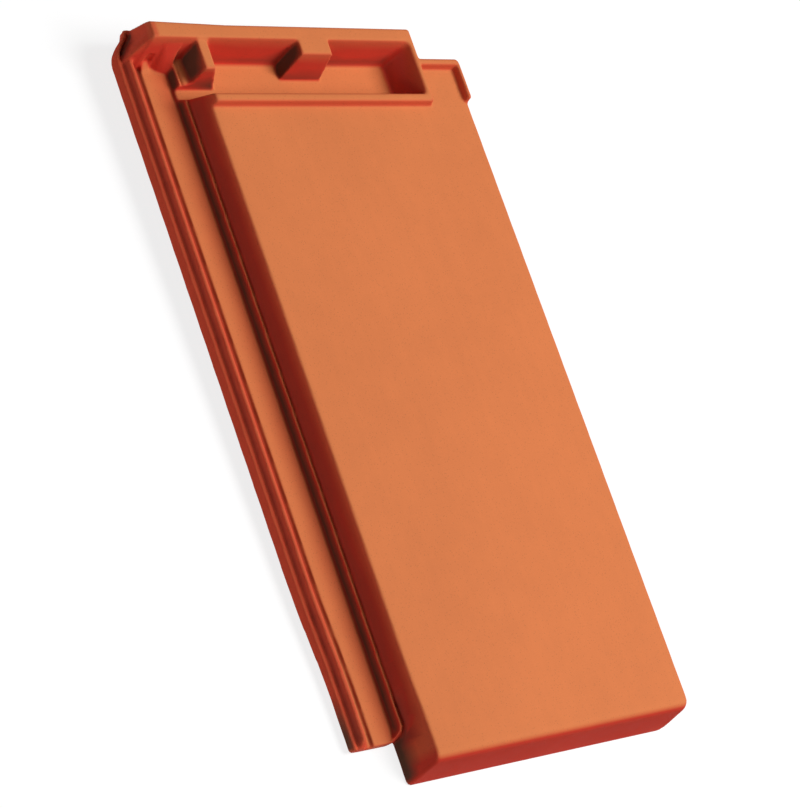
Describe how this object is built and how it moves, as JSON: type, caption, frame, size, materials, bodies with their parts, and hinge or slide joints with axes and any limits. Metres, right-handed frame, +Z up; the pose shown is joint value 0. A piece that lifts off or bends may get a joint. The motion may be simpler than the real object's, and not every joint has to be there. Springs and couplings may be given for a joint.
{
  "type": "clay roof tile",
  "caption": "Flat interlocking clay roof tile with a side water channel, head trough, foot lip, cover flange and batten nibs.",
  "frame": {"origin": "centre of the tile's bounding box at the floor it lies on, weather face up", "axes": "+X across the tile from the side channel to the cover flange, +Y from the foot lip towards the head trough, +Z up, away from the floor"},
  "size_m": [0.2642, 0.4804, 0.0469],
  "materials": {
    "fired_clay": "matt, unglazed fired clay"
  },
  "bodies": {
    "root": {"roof_tile": "fired_clay"}
  },
  "joints": []
}
